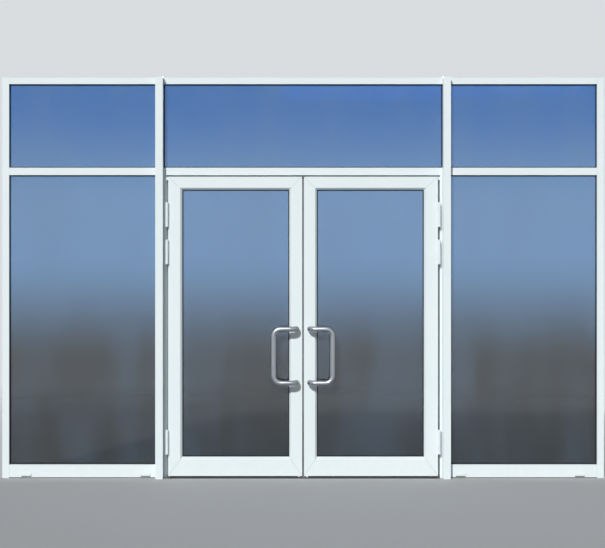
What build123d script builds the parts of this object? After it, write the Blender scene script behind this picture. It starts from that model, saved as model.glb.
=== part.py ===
from build123d import *
import os

# Glass entrance screen: a pair of outward-opening leaves in a three-bay frame, in millimetres.
# X runs along the screen, Y into the building and Z up. The origin is on the floor, under the gap
# between the leaves and midway through their thickness.

# The frame
screen_width = 4250.0
screen_height = 2828.0
frame_depth = 70.0
frame_wall = 2.0
jamb_face = 48.0
head_face = 45.0
transom_face = 52.0
sill_face = 95.0
mullion_face = 53.0
mullion_spacing = 2024.0
mullion_nose = 60.0
transom_underside = 2140.0
edge_radius = 1.0

# The door opening
post_strip = 19.5
hinge_gap = 15.0
meeting_gap = 12.0
top_gap = 13.0
floor_gap = 16.6
stop_overlap = 12.0
stop_gap = 4.5
stop_seal_width = 8.0
stop_seal_inset = 2.0
stop_seal_clearance = 0.3
gap_block_height = 22.0
gap_block_depth = 20.0
gap_block_clearance = 1.0

# The threshold, and the keeper under the meeting stiles
threshold_thickness = 5.0
threshold_nosing = 5.0
threshold_slope = 4.0
tread_groove_width = 2.0
tread_groove_depth = 1.0
tread_groove_spacing = 12.0
tread_groove_count = 6
keeper_width = 50.0
keeper_depth = 36.0
keeper_corner_radius = 4.0
keeper_edge_chamfer = 1.0
keeper_clearance = 2.0

# The leaf
leaf_depth = 65.0
leaf_step = 20.0
leaf_wall = 2.2
hinge_stile_face = 98.0
meeting_stile_face = 91.0
top_rail_face = 90.5
bottom_rail_face = 134.5
bevel_share = 0.134
bevel_depth = 15.0
seal_groove_width = 5.0
seal_groove_depth = 4.0
seal_groove_setback = 12.5
cleat_inset = 12.0
cleat_arm_width = 45.0
cleat_arm_length = 110.0

# The glazing
pane_thickness = 6.0
pane_cavity = 12.0
frame_glass_setback = 22.0
leaf_glass_setback = 24.0
glazing_rebate = 16.0
glass_edge_cover = 12.0
gasket_thickness = 3.0
gasket_seat = 6.0
gasket_sight = 4.0
spacer_inset = 1.0
spacer_width = 14.0
bead_wall = 1.5
bead_chamfer = 2.0
bead_mitre_gap = 0.2
block_length = 100.0

# The seals on the leaf's edges
meeting_seal_width = 10.0
meeting_seal_radius = 3.5
meeting_seal_clearance = 0.8
seal_foot_clearance = 0.1
seal_foot_end = 6.0
brush_width = 8.0
brush_clearance = 0.3
brush_meeting_end = 30.0
brush_hinge_end = 11.0

# The drain caps on the sills
cap_width = 72.0
cap_height = 16.0
cap_depth = 9.0
cap_wall = 1.2
cap_edge_chamfer = 3.0
cap_base_height = 16.0
cap_mullion_distance = 75.0
cap_jamb_distance = 122.0
drain_slot_width = 30.0
drain_slot_height = 5.0

# The barrel hinges
hinge_heights = (1859.0, 1596.0, 257.0)
hinge_projection = 15.0
barrel_radius = 10.5
barrel_length = 168.0
leaf_knuckle_length = 70.0
knuckle_gap = 0.3
pin_radius = 5.0
pin_press_clearance = 0.02
pin_running_clearance = 0.06
pin_cap_height = 3.0
pin_cap_radius = 2.0
hinge_plate_thickness = 4.0
hinge_plate_reach = 24.0
plate_knuckle_clearance = 1.5

# The pull handles
handle_height = 866.0
handle_foot_spacing = 378.0
handle_foot_edge = 42.0
handle_offset = 159.0
handle_standoff = 80.0
handle_radius = 19.0
handle_wall = 1.5
foot_bend_radius = 42.0
grip_bend_radius = 50.0
foot_plug_length = 14.0
handle_bore_depth = 13.0
handle_bolt_radius = 5.0
handle_bolt_engagement = 12.0
handle_bolt_clearance = 0.1
stile_hole_clearance = 0.6

# The sliding bolts in the meeting stiles
bolt_radius = 5.0
bolt_hole_clearance = 0.6
bolt_edge_distance = 11.0
bolt_setback = 12.0
bolt_recess = 1.0
bottom_bolt_travel = 12.0
top_bolt_travel = 24.0
bottom_slide_distance = 283.4
top_slide_distance = 367.0
slide_neck_width = 6.0
slide_neck_height = 30.0
slide_neck_clearance = 0.4
slide_pad_width = 18.0
slide_pad_height = 50.0
slide_pad_thickness = 8.0
slide_pad_radius = 3.0
slide_pad_edge_radius = 1.5
slide_pad_gap = 0.3

# The anchor holes in the frame
anchor_radius = 5.5
anchor_end_distance = 250.0
anchor_inner_distance = 1000.0

# Planes across the depth
leaf_front = -leaf_depth / 2
leaf_back = leaf_depth / 2
frame_front = leaf_front + leaf_step
frame_back = frame_front + frame_depth
nose_front = frame_front - mullion_nose
stop_front = leaf_back + stop_gap
unit_thickness = 2 * pane_thickness + pane_cavity
frame_glass_front = frame_front + frame_glass_setback
frame_lip_back = frame_glass_front - gasket_thickness
leaf_glass_front = leaf_front + leaf_glass_setback
leaf_lip_back = leaf_glass_front - gasket_thickness
groove_front = leaf_front + seal_groove_setback
groove_back = groove_front + seal_groove_width
groove_middle = (groove_front + groove_back) / 2
anchor_y = (frame_lip_back + frame_back) / 2

# Lines across the width, on the right of the centre
jamb_outer = screen_width / 2
jamb_inner = jamb_outer - jamb_face
mullion_outer = (mullion_spacing + mullion_face) / 2
mullion_inner = mullion_outer - mullion_face
reveal_x = mullion_inner - post_strip
hinge_edge = reveal_x - hinge_gap
meeting_edge = meeting_gap / 2
stop_x = hinge_edge - stop_overlap
hinge_x = hinge_edge + hinge_gap / 2
hinge_y = leaf_front - hinge_projection
bolt_x = meeting_edge + bolt_edge_distance
foot_x = meeting_edge + handle_foot_edge
grip_x = foot_x + handle_offset

# Lines up the height
transom_top = transom_underside + transom_face
head_underside = screen_height - head_face
leaf_top = transom_underside - top_gap
leaf_bottom = floor_gap
bottom_slide_height = leaf_bottom + bottom_slide_distance
top_slide_height = leaf_top - top_slide_distance
stop_z = leaf_top - stop_overlap
foot_heights = (handle_height - handle_foot_spacing / 2, handle_height + handle_foot_spacing / 2)

# Openings between the glazing lips: low X, high X, low Z, high Z
sidelight_opening = (mullion_outer, jamb_inner, sill_face, transom_underside)
side_toplight_opening = (mullion_outer, jamb_inner, transom_top, head_underside)
centre_toplight_opening = (-mullion_inner, mullion_inner, transom_top, head_underside)
leaf_outline = (meeting_edge, hinge_edge, leaf_bottom, leaf_top)
leaf_opening = (
    meeting_edge + meeting_stile_face,
    hinge_edge - hinge_stile_face,
    leaf_bottom + bottom_rail_face,
    leaf_top - top_rail_face,
)


def write_piece(part, name):
    """Label a finished piece and write it to its own file."""
    part.label = name
    export_step(part, f"parts/{name}.step")


def mirrored(part):
    """The same piece on the other side of the screen's centre."""
    with BuildPart() as twin:
        mirror(part, about=Plane.YZ)
    return twin.part


def write_pair(part, name):
    """Write a piece of the frame's right side, and its mirror image."""
    write_piece(part, f"{name}_right")
    write_piece(mirrored(part), f"{name}_left")


def write_leaf_pair(part, name):
    """Write a piece of the right leaf, and its mirror image in the left leaf."""
    write_piece(part, f"right_leaf_{name}")
    write_piece(mirrored(part), f"left_leaf_{name}")


def draw_rectangle(low_u, high_u, low_v, high_v, mode=Mode.ADD):
    """A rectangle in the current sketch, given by its sides."""
    with Locations(((low_u + high_u) / 2, (low_v + high_v) / 2)):
        Rectangle(high_u - low_u, high_v - low_v, mode=mode)


def draw_box(low, high, mode=Mode.ADD):
    """A box in the current part, given by its low and high corners."""
    middle = [(a + b) / 2 for a, b in zip(low, high)]
    lengths = [b - a for a, b in zip(low, high)]
    with Locations(tuple(middle)):
        Box(*lengths, mode=mode)


def draw_rod(start, direction, radius, length, mode=Mode.ADD):
    """A round bar or hole in the current part, from its start along a direction."""
    with Locations(Plane(origin=start, z_dir=direction)):
        Cylinder(radius, length, align=(Align.CENTER, Align.CENTER, Align.MIN), mode=mode)


def draw_hollow(points, wall):
    """An extrusion's outline in the current sketch, hollowed to its wall."""
    Polygon(*points, align=None)
    offset(amount=-wall, kind=Kind.INTERSECTION, mode=Mode.SUBTRACT)


def draw_framing(face, front, low_rebated, high_rebated):
    """Frame extrusion: a chamber behind its face, a web behind that, and room for glass beside the web."""
    low_web = glazing_rebate if low_rebated else 0
    high_web = face - glazing_rebate if high_rebated else face
    points = [(0, front), (face, front)]
    if high_rebated:
        points += [(face, frame_lip_back), (high_web, frame_lip_back)]
    points += [(high_web, frame_back), (low_web, frame_back)]
    if low_rebated:
        points += [(low_web, frame_lip_back), (0, frame_lip_back)]
    draw_hollow(points, frame_wall)
    draw_rectangle(low_web, high_web, frame_lip_back - frame_wall, frame_lip_back)


def draw_leaf_profile(face, grooved):
    """Leaf extrusion: a bevelled lip, the rebate for the glass behind it, and two chambers.

    Each bevel is the same share of its profile's face, so that the bevels meet at the mitres. A grooved
    profile has a slot in its outer edge, which holds the foot of a seal.
    """
    web = face - glazing_rebate
    points = [
        (0, leaf_front),
        (face - face * bevel_share, leaf_front),
        (face, leaf_front + bevel_depth),
        (face, leaf_lip_back),
        (web, leaf_lip_back),
        (web, leaf_back),
        (0, leaf_back),
    ]
    if grooved:
        points += [
            (0, groove_back),
            (seal_groove_depth, groove_back),
            (seal_groove_depth, groove_front),
            (0, groove_front),
        ]
    draw_hollow(points, leaf_wall)
    draw_rectangle(leaf_wall, web, leaf_lip_back - leaf_wall, leaf_lip_back)


def draw_bead(front, back):
    """Glazing bead: a closed tube that fills the rebate, its visible corner chamfered."""
    points = [
        (0, front),
        (glazing_rebate, front),
        (glazing_rebate, back - bead_chamfer),
        (glazing_rebate - bead_chamfer, back),
        (0, back),
    ]
    draw_hollow(points, bead_wall)


def grown(opening, margin):
    """A rectangle with each side moved outwards."""
    low_x, high_x, low_z, high_z = opening
    return (low_x - margin, high_x + margin, low_z - margin, high_z + margin)


def front_plane(y):
    """The upright plane at this depth that faces out of the building."""
    return Plane(origin=(0, y, 0), x_dir=(1, 0, 0), z_dir=(0, -1, 0))


def crosswise_plane(x, z):
    """The section plane of a rail that runs to the left from here: U goes up and V into the building."""
    return Plane(origin=(x, 0, z), x_dir=(0, 0, 1), z_dir=(-1, 0, 0))


def fixed_rail(opening, low_z, face, low_rebated, high_rebated):
    """A rail between two uprights: its web reaches theirs, and its lip stops between their lips."""
    low_x, high_x = opening[:2]
    with BuildPart() as rail:
        with BuildSketch(crosswise_plane(high_x + glazing_rebate, low_z)):
            draw_framing(face, frame_front, low_rebated, high_rebated)
        extrude(amount=high_x - low_x + 2 * glazing_rebate)
        for end in (low_x - glazing_rebate, high_x):
            draw_box(
                (end, frame_front, low_z),
                (end + glazing_rebate, frame_lip_back, low_z + face),
                Mode.SUBTRACT,
            )
    return rail.part


def mitred_sides(outline, faces):
    """The four lengths of a mitred frame, clockwise from the left as seen from outside.

    Each is its section plane, its length, and the planes that cut its two ends. A mitre runs from the
    frame's outer corner to the corner of the opening, so rails of unlike faces meet along one line.
    """
    low_x, high_x, low_z, high_z = outline
    corners = [
        Vector(low_x, 0, low_z),
        Vector(low_x, 0, high_z),
        Vector(high_x, 0, high_z),
        Vector(high_x, 0, low_z),
    ]
    directions = [Vector(0, 0, 1), Vector(1, 0, 0), Vector(0, 0, -1), Vector(-1, 0, 0)]
    sides = []
    for i in range(4):
        start = corners[i]
        end = corners[(i + 1) % 4]
        along = directions[i]
        inward = directions[(i + 1) % 4]
        section = Plane(origin=start, x_dir=inward, z_dir=along)
        first_cut = Plane(origin=start, z_dir=along * faces[i] - inward * faces[i - 1])
        last_cut = Plane(origin=end, z_dir=along * -faces[i] - inward * faces[(i + 1) % 4])
        sides.append((section, (end - start).length, first_cut, last_cut))
    return sides


def mitred_length(side, mitre_gap, draw_section, *values):
    """One length of a mitred frame, with half of the mitre's gap left at each end."""
    section, length, first_cut, last_cut = side
    with BuildPart() as bar:
        with BuildSketch(section):
            draw_section(*values)
        extrude(amount=length)
        split(bisect_by=first_cut.offset(mitre_gap / 2))
        split(bisect_by=last_cut.offset(mitre_gap / 2))
    return bar.part


def glass_unit(opening, front):
    """The outer and the inner pane of one double-glazed unit."""
    low_x, high_x, low_z, high_z = grown(opening, glass_edge_cover)
    with BuildPart() as unit:
        for y in (front, front + pane_thickness + pane_cavity):
            draw_box((low_x, y, low_z), (high_x, y + pane_thickness, high_z))
    return unit.part


def ring(opening, outward, inward, front, depth):
    """A flat band round an opening, partly outside its edge and partly inside."""
    with BuildPart() as band:
        with BuildSketch(front_plane(front + depth)):
            draw_rectangle(*grown(opening, outward))
            draw_rectangle(*grown(opening, -inward), Mode.SUBTRACT)
        extrude(amount=depth)
    return band.part


def gasket_pair(opening, glass_front):
    """The outer and the inner gasket of a pane."""
    fronts = (glass_front - gasket_thickness, glass_front + unit_thickness)
    return [ring(opening, gasket_seat, gasket_sight, front, gasket_thickness) for front in fronts]


def glass_spacer(opening, glass_front):
    """The band that holds the two panes of a unit apart, just inside their edges."""
    outward = glass_edge_cover - spacer_inset
    return ring(opening, outward, spacer_width - outward, glass_front + pane_thickness, pane_cavity)


def bead_lengths(opening, glass_front, back):
    """The four mitred beads that hold a unit in its rebate."""
    front = glass_front + unit_thickness + gasket_thickness
    sides = mitred_sides(grown(opening, glazing_rebate), [glazing_rebate] * 4)
    return [mitred_length(side, bead_mitre_gap, draw_bead, front, back) for side in sides]


def both_sides(parts):
    """Pieces of the right side together with their mirror images."""
    return parts + [mirrored(part) for part in parts]


def write_group(parts, name):
    """Write like pieces as one node, each still its own solid."""
    write_piece(Compound([solid for part in parts for solid in part.solids()]), name)


os.makedirs("parts", exist_ok=True)

# Jambs, with the glass on their inner side and the anchor holes through their web
anchor_heights = (
    anchor_end_distance,
    anchor_inner_distance,
    screen_height - anchor_inner_distance,
    screen_height - anchor_end_distance,
)
with BuildPart() as jamb:
    with BuildSketch(Plane(origin=(jamb_inner, 0, 0))):
        draw_framing(jamb_face, frame_front, True, False)
    extrude(amount=screen_height)
    for z in anchor_heights:
        draw_rod((jamb_outer, anchor_y, z), (-1, 0, 0), anchor_radius, jamb_face, Mode.SUBTRACT)
write_pair(jamb.part, "jamb")

# Mullions, whose nose stands forward of the rails
with BuildPart() as mullion:
    with BuildSketch(Plane(origin=(mullion_inner, 0, 0))):
        draw_framing(mullion_face, nose_front, True, True)
    extrude(amount=screen_height)
    fillet(mullion.edges().filter_by(Axis.Z).group_by(Axis.Y)[0], radius=edge_radius)
write_pair(mullion.part, "mullion")

# Heads
side_anchor_lines = (mullion_outer + anchor_end_distance, jamb_inner - anchor_end_distance)
with BuildPart() as side_head:
    add(fixed_rail(side_toplight_opening, head_underside, head_face, True, False))
    for x in side_anchor_lines:
        draw_rod((x, anchor_y, head_underside), (0, 0, 1), anchor_radius, head_face, Mode.SUBTRACT)
write_pair(side_head.part, "head")

centre_anchor_x = mullion_inner - anchor_end_distance
with BuildPart() as centre_head:
    add(fixed_rail(centre_toplight_opening, head_underside, head_face, True, False))
    for x in (-centre_anchor_x, centre_anchor_x):
        draw_rod((x, anchor_y, head_underside), (0, 0, 1), anchor_radius, head_face, Mode.SUBTRACT)
write_piece(centre_head.part, "head_centre")

# Transoms: the middle one carries the stop over the leaves, and takes their top bolts
write_pair(fixed_rail(side_toplight_opening, transom_underside, transom_face, True, True), "transom")

with BuildPart() as centre_transom:
    add(fixed_rail(centre_toplight_opening, transom_underside, transom_face, False, True))
    with BuildSketch(crosswise_plane(stop_x, 0)):
        draw_rectangle(stop_z, transom_underside, stop_front, frame_back)
        draw_rectangle(
            stop_z + frame_wall,
            transom_underside,
            stop_front + frame_wall,
            frame_back - frame_wall,
            Mode.SUBTRACT,
        )
    extrude(amount=2 * stop_x)
    for x in (-bolt_x, bolt_x):
        draw_rod(
            (x, bolt_setback, transom_underside),
            (0, 0, 1),
            bolt_radius + bolt_hole_clearance,
            frame_wall,
            Mode.SUBTRACT,
        )
write_piece(centre_transom.part, "transom_centre")

# Sills, with anchor holes down to the floor and slots for water behind the drain caps
cap_lines = (mullion_outer + cap_mullion_distance, jamb_inner - cap_jamb_distance)
with BuildPart() as sill:
    add(fixed_rail(sidelight_opening, 0, sill_face, False, True))
    for x in side_anchor_lines:
        draw_rod((x, anchor_y, 0), (0, 0, 1), anchor_radius, sill_face, Mode.SUBTRACT)
    for x in cap_lines:
        with Locations((x, frame_front, cap_base_height + cap_height / 2)):
            Box(drain_slot_width, 2 * frame_wall, drain_slot_height, mode=Mode.SUBTRACT)
write_pair(sill.part, "sill")

# Door posts fill the mullions' inner rebates, and their rear part is the stop behind the leaf
with BuildPart() as door_post:
    with BuildSketch(Plane.XY):
        draw_hollow(
            [
                (reveal_x, frame_front),
                (mullion_inner, frame_front),
                (mullion_inner, frame_lip_back),
                (mullion_inner + glazing_rebate, frame_lip_back),
                (mullion_inner + glazing_rebate, frame_back),
                (stop_x, frame_back),
                (stop_x, stop_front),
                (reveal_x, stop_front),
            ],
            frame_wall,
        )
        draw_rectangle(reveal_x, mullion_inner, frame_lip_back, frame_lip_back + frame_wall)
        draw_rectangle(
            reveal_x, mullion_inner + glazing_rebate, stop_front, stop_front + frame_wall
        )
    extrude(amount=transom_underside)
    draw_box(
        (hinge_edge + gap_block_clearance, frame_front, leaf_top - gap_block_height),
        (reveal_x, frame_front + gap_block_depth, leaf_top),
    )
write_pair(door_post.part, "door_post")

# Threshold: a grooved plate with a sloped nosing, notched round the stops
threshold_front = leaf_front - threshold_nosing
first_groove = (threshold_front + frame_back - (tread_groove_count - 1) * tread_groove_spacing) / 2
with BuildPart() as threshold:
    with BuildSketch(crosswise_plane(reveal_x, 0)):
        Polygon(
            (0, threshold_front),
            (0, frame_back),
            (threshold_thickness, frame_back),
            (threshold_thickness, threshold_front + threshold_slope),
            (tread_groove_depth, threshold_front),
            align=None,
        )
        for i in range(tread_groove_count):
            middle = first_groove + i * tread_groove_spacing
            draw_rectangle(
                threshold_thickness - tread_groove_depth,
                threshold_thickness,
                middle - tread_groove_width / 2,
                middle + tread_groove_width / 2,
                Mode.SUBTRACT,
            )
    extrude(amount=2 * reveal_x)
    for low_x in (-reveal_x, stop_x):
        draw_box(
            (low_x, stop_front, 0),
            (low_x + reveal_x - stop_x, frame_back, threshold_thickness),
            Mode.SUBTRACT,
        )
write_piece(threshold.part, "threshold")

# Keeper on the threshold, which takes both bottom bolts
with BuildPart() as keeper:
    with BuildSketch(Plane(origin=(0, bolt_setback, threshold_thickness))):
        RectangleRounded(keeper_width, keeper_depth, keeper_corner_radius)
        with Locations((-bolt_x, 0), (bolt_x, 0)):
            Circle(bolt_radius + bolt_hole_clearance, mode=Mode.SUBTRACT)
    extrude(amount=leaf_bottom - keeper_clearance - threshold_thickness)
    keeper_top = keeper.faces().sort_by(Axis.Z)[-1]
    chamfer(keeper_top.outer_wire().edges(), length=keeper_edge_chamfer)
write_piece(keeper.part, "floor_keeper")

# Glass of the fixed lights
write_pair(glass_unit(sidelight_opening, frame_glass_front), "sidelight_glass")
write_pair(glass_unit(side_toplight_opening, frame_glass_front), "toplight_glass")
write_piece(glass_unit(centre_toplight_opening, frame_glass_front), "toplight_glass_centre")

# Beads, spacers and setting blocks of the fixed lights
side_openings = (sidelight_opening, side_toplight_opening)
side_beads = []
side_spacers = []
side_gaskets = []
for opening in side_openings:
    side_beads += bead_lengths(opening, frame_glass_front, frame_back)
    side_spacers.append(glass_spacer(opening, frame_glass_front))
    side_gaskets += gasket_pair(opening, frame_glass_front)
centre_beads = bead_lengths(centre_toplight_opening, frame_glass_front, frame_back)
centre_spacer = glass_spacer(centre_toplight_opening, frame_glass_front)
write_group(both_sides(side_beads) + centre_beads, "frame_glazing_beads")
write_group(both_sides(side_spacers) + [centre_spacer], "frame_glass_spacers")

with BuildPart() as setting_blocks:
    for low_x, high_x, low_z, high_z in side_openings + (centre_toplight_opening,):
        for share in (0.25, 0.75):
            middle_x = low_x + share * (high_x - low_x)
            draw_box(
                (middle_x - block_length / 2, frame_glass_front, low_z - glazing_rebate),
                (middle_x + block_length / 2, frame_glass_front + unit_thickness, low_z - glass_edge_cover),
            )
    mirror(about=Plane.YZ)
write_piece(setting_blocks.part, "frame_setting_blocks")

# Gaskets of the fixed lights, and the seal on the stops behind the leaves
seal_low_x = stop_x + stop_seal_inset
seal_high_x = seal_low_x + stop_seal_width
seal_low_z = stop_z + stop_seal_inset
seal_high_z = seal_low_z + stop_seal_width
with BuildPart() as stop_seal:
    with BuildSketch(front_plane(stop_front)):
        draw_rectangle(-seal_high_x, seal_high_x, threshold_thickness, seal_high_z)
        draw_rectangle(-seal_low_x, seal_low_x, threshold_thickness, seal_low_z, Mode.SUBTRACT)
    extrude(amount=stop_gap - stop_seal_clearance)
centre_gaskets = gasket_pair(centre_toplight_opening, frame_glass_front)
write_group(both_sides(side_gaskets) + centre_gaskets + [stop_seal.part], "frame_gaskets")

# Drain caps: small hoods, hollow behind and open below
with BuildPart() as drain_caps:
    for x in cap_lines:
        draw_box(
            (x - cap_width / 2, frame_front - cap_depth, cap_base_height),
            (x + cap_width / 2, frame_front, cap_base_height + cap_height),
        )
    front_edges = drain_caps.faces().group_by(Axis.Y)[0].edges()
    chamfer(front_edges - front_edges.group_by(Axis.Z)[0], length=cap_edge_chamfer)
    for x in cap_lines:
        draw_box(
            (x - cap_width / 2 + cap_wall, frame_front - cap_depth + cap_wall, cap_base_height),
            (x + cap_width / 2 - cap_wall, frame_front, cap_base_height + cap_height - cap_wall),
            Mode.SUBTRACT,
        )
    mirror(about=Plane.YZ)
write_piece(drain_caps.part, "drain_caps")

# The four profiles of a leaf
leaf_faces = [meeting_stile_face, top_rail_face, hinge_stile_face, bottom_rail_face]
meeting_side, top_side, hinge_side, bottom_side = mitred_sides(leaf_outline, leaf_faces)
write_leaf_pair(mitred_length(hinge_side, 0, draw_leaf_profile, hinge_stile_face, False), "hinge_stile")

slide_heights = (
    (bottom_slide_height - bottom_bolt_travel, bottom_slide_height),
    (top_slide_height, top_slide_height + top_bolt_travel),
)
with BuildPart() as meeting_stile:
    add(mitred_length(meeting_side, 0, draw_leaf_profile, meeting_stile_face, True))
    for z in foot_heights:
        draw_rod(
            (foot_x, leaf_front, z),
            (0, 1, 0),
            handle_bolt_radius + stile_hole_clearance,
            leaf_depth,
            Mode.SUBTRACT,
        )
    slot_side = slide_neck_width / 2 + slide_neck_clearance
    slot_end = slide_neck_height / 2 + slide_neck_clearance
    for low_z, high_z in slide_heights:
        draw_box(
            (bolt_x - slot_side, leaf_back - leaf_wall, low_z - slot_end),
            (bolt_x + slot_side, leaf_back, high_z + slot_end),
            Mode.SUBTRACT,
        )
write_leaf_pair(meeting_stile.part, "meeting_stile")

bolt_hole_radius = bolt_radius + bolt_hole_clearance
with BuildPart() as top_rail:
    add(mitred_length(top_side, 0, draw_leaf_profile, top_rail_face, False))
    draw_rod((bolt_x, bolt_setback, leaf_top), (0, 0, -1), bolt_hole_radius, leaf_wall, Mode.SUBTRACT)
write_leaf_pair(top_rail.part, "top_rail")

with BuildPart() as bottom_rail:
    add(mitred_length(bottom_side, 0, draw_leaf_profile, bottom_rail_face, True))
    draw_rod((bolt_x, bolt_setback, leaf_bottom), (0, 0, 1), bolt_hole_radius, leaf_wall, Mode.SUBTRACT)
write_leaf_pair(bottom_rail.part, "bottom_rail")

# Corner cleats: L-shaped plates that fill the depth of the front chambers across each mitre
cleat_low_x, cleat_high_x, cleat_low_z, cleat_high_z = grown(leaf_outline, -cleat_inset)
cleat_corners = (
    (cleat_low_x, cleat_low_z, 1, 1),
    (cleat_low_x, cleat_high_z, 1, -1),
    (cleat_high_x, cleat_high_z, -1, -1),
    (cleat_high_x, cleat_low_z, -1, 1),
)
with BuildPart() as cleats:
    with BuildSketch(front_plane(leaf_lip_back - leaf_wall)):
        for x, z, side_x, side_z in cleat_corners:
            for arm_x, arm_z in (
                (cleat_arm_length, cleat_arm_width),
                (cleat_arm_width, cleat_arm_length),
            ):
                with Locations((x + side_x * arm_x / 2, z + side_z * arm_z / 2)):
                    Rectangle(arm_x, arm_z)
    extrude(amount=leaf_lip_back - leaf_front - 2 * leaf_wall)
write_leaf_pair(cleats.part, "corner_cleats")

# Glass, spacer, beads and gaskets of a leaf
write_leaf_pair(glass_unit(leaf_opening, leaf_glass_front), "glass")
write_leaf_pair(glass_spacer(leaf_opening, leaf_glass_front), "glass_spacer")
leaf_beads = bead_lengths(leaf_opening, leaf_glass_front, leaf_back)
write_group(leaf_beads, "right_leaf_glazing_beads")
write_group([mirrored(bead) for bead in leaf_beads], "left_leaf_glazing_beads")

# The meeting seal stands out of the stile's groove, half-way across the gap between the leaves
foot_half_width = seal_groove_width / 2 - seal_foot_clearance
foot_depth = seal_groove_depth - seal_foot_clearance
with BuildPart() as meeting_seal:
    draw_box(
        (meeting_seal_clearance, groove_middle - meeting_seal_width / 2, leaf_bottom),
        (meeting_edge, groove_middle + meeting_seal_width / 2, leaf_top),
    )
    fillet(meeting_seal.faces().sort_by(Axis.X)[0].edges().filter_by(Axis.Z), radius=meeting_seal_radius)
    draw_box(
        (meeting_edge, groove_middle - foot_half_width, leaf_bottom + seal_foot_end),
        (meeting_edge + foot_depth, groove_middle + foot_half_width, leaf_top - seal_foot_end),
    )
leaf_gaskets = gasket_pair(leaf_opening, leaf_glass_front) + [meeting_seal.part]
write_group(leaf_gaskets, "right_leaf_gaskets")
write_group([mirrored(gasket) for gasket in leaf_gaskets], "left_leaf_gaskets")

# Brush under the leaf, its foot in the bottom rail's groove
brush_low_x = meeting_edge + brush_meeting_end
brush_high_x = hinge_edge - brush_hinge_end
with BuildPart() as brush:
    draw_box(
        (brush_low_x, groove_middle - brush_width / 2, threshold_thickness + brush_clearance),
        (brush_high_x, groove_middle + brush_width / 2, leaf_bottom),
    )
    draw_box(
        (brush_low_x, groove_middle - foot_half_width, leaf_bottom),
        (brush_high_x, groove_middle + foot_half_width, leaf_bottom + foot_depth),
    )
write_leaf_pair(brush.part, "bottom_brush")

# Hinges: a plate and two knuckles on the post, a plate and one knuckle on the leaf, and a capped pin
frame_knuckle_length = (barrel_length - leaf_knuckle_length) / 2 - knuckle_gap
plate_front = hinge_y + barrel_radius + plate_knuckle_clearance
with BuildPart() as frame_plates:
    for z in hinge_heights:
        low_z = z - barrel_length / 2
        high_z = z + barrel_length / 2
        draw_box(
            (reveal_x - hinge_plate_thickness, plate_front, low_z),
            (reveal_x, frame_front + hinge_plate_reach, high_z),
        )
        for knuckle_z in (low_z, high_z - frame_knuckle_length):
            draw_rod((hinge_x, hinge_y, knuckle_z), (0, 0, 1), barrel_radius, frame_knuckle_length)
            draw_box(
                (reveal_x - hinge_plate_thickness, hinge_y, knuckle_z),
                (reveal_x, plate_front, knuckle_z + frame_knuckle_length),
            )
        draw_rod(
            (hinge_x, hinge_y, low_z),
            (0, 0, 1),
            pin_radius + pin_press_clearance,
            barrel_length,
            Mode.SUBTRACT,
        )
    mirror(about=Plane.YZ)
write_piece(frame_plates.part, "hinge_frame_plates")

with BuildPart() as leaf_plates:
    for z in hinge_heights:
        knuckle_low_z = z - leaf_knuckle_length / 2
        knuckle_high_z = z + leaf_knuckle_length / 2
        draw_box(
            (hinge_edge, plate_front, z - barrel_length / 2),
            (hinge_edge + hinge_plate_thickness, leaf_front + hinge_plate_reach, z + barrel_length / 2),
        )
        draw_rod((hinge_x, hinge_y, knuckle_low_z), (0, 0, 1), barrel_radius, leaf_knuckle_length)
        draw_box(
            (hinge_edge, hinge_y, knuckle_low_z),
            (hinge_edge + hinge_plate_thickness, plate_front, knuckle_high_z),
        )
        draw_rod(
            (hinge_x, hinge_y, knuckle_low_z),
            (0, 0, 1),
            pin_radius + pin_running_clearance,
            leaf_knuckle_length,
            Mode.SUBTRACT,
        )
write_leaf_pair(leaf_plates.part, "hinge_plates")

with BuildPart() as pins:
    for z in hinge_heights:
        with BuildSketch(Plane(origin=(hinge_x, hinge_y, z), x_dir=(1, 0, 0), z_dir=(0, -1, 0))) as profile:
            draw_rectangle(0, pin_radius, -barrel_length / 2, barrel_length / 2)
            draw_rectangle(0, barrel_radius, barrel_length / 2, barrel_length / 2 + pin_cap_height)
            draw_rectangle(0, barrel_radius, -barrel_length / 2 - pin_cap_height, -barrel_length / 2)
            rims = profile.vertices().group_by(Axis.X)[-1].sort_by(Axis.Y)
            fillet((rims[0], rims[-1]), radius=pin_cap_radius)
        revolve(axis=Axis((hinge_x, hinge_y, 0), (0, 0, 1)))
    mirror(about=Plane.YZ)
write_piece(pins.part, "hinge_pins")

# Pull handle: one bent tube with a bored plug in each foot, drawn outside and mirrored to the inside
grip_y = leaf_front - handle_standoff
low_foot, high_foot = foot_heights
handle_points = [
    (foot_x, leaf_front, low_foot),
    (foot_x, grip_y, low_foot),
    (grip_x, grip_y, low_foot),
    (grip_x, grip_y, high_foot),
    (foot_x, grip_y, high_foot),
    (foot_x, leaf_front, high_foot),
]
bend_radii = [foot_bend_radius, grip_bend_radius, grip_bend_radius, foot_bend_radius]
with BuildPart() as outer_handle:
    with BuildLine() as handle_path:
        FilletPolyline(*handle_points, radius=bend_radii)
    with BuildSketch(Plane(origin=handle_points[0], z_dir=(0, -1, 0))):
        Circle(handle_radius)
        Circle(handle_radius - handle_wall, mode=Mode.SUBTRACT)
    sweep(path=handle_path.wire())
    for z in foot_heights:
        draw_rod((foot_x, leaf_front, z), (0, -1, 0), handle_radius, foot_plug_length)
        draw_rod(
            (foot_x, leaf_front, z),
            (0, -1, 0),
            handle_bolt_radius + handle_bolt_clearance,
            handle_bore_depth,
            Mode.SUBTRACT,
        )
write_leaf_pair(outer_handle.part, "outer_handle")

with BuildPart() as inner_handle:
    mirror(outer_handle.part, about=Plane.XZ)
write_leaf_pair(inner_handle.part, "inner_handle")

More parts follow.
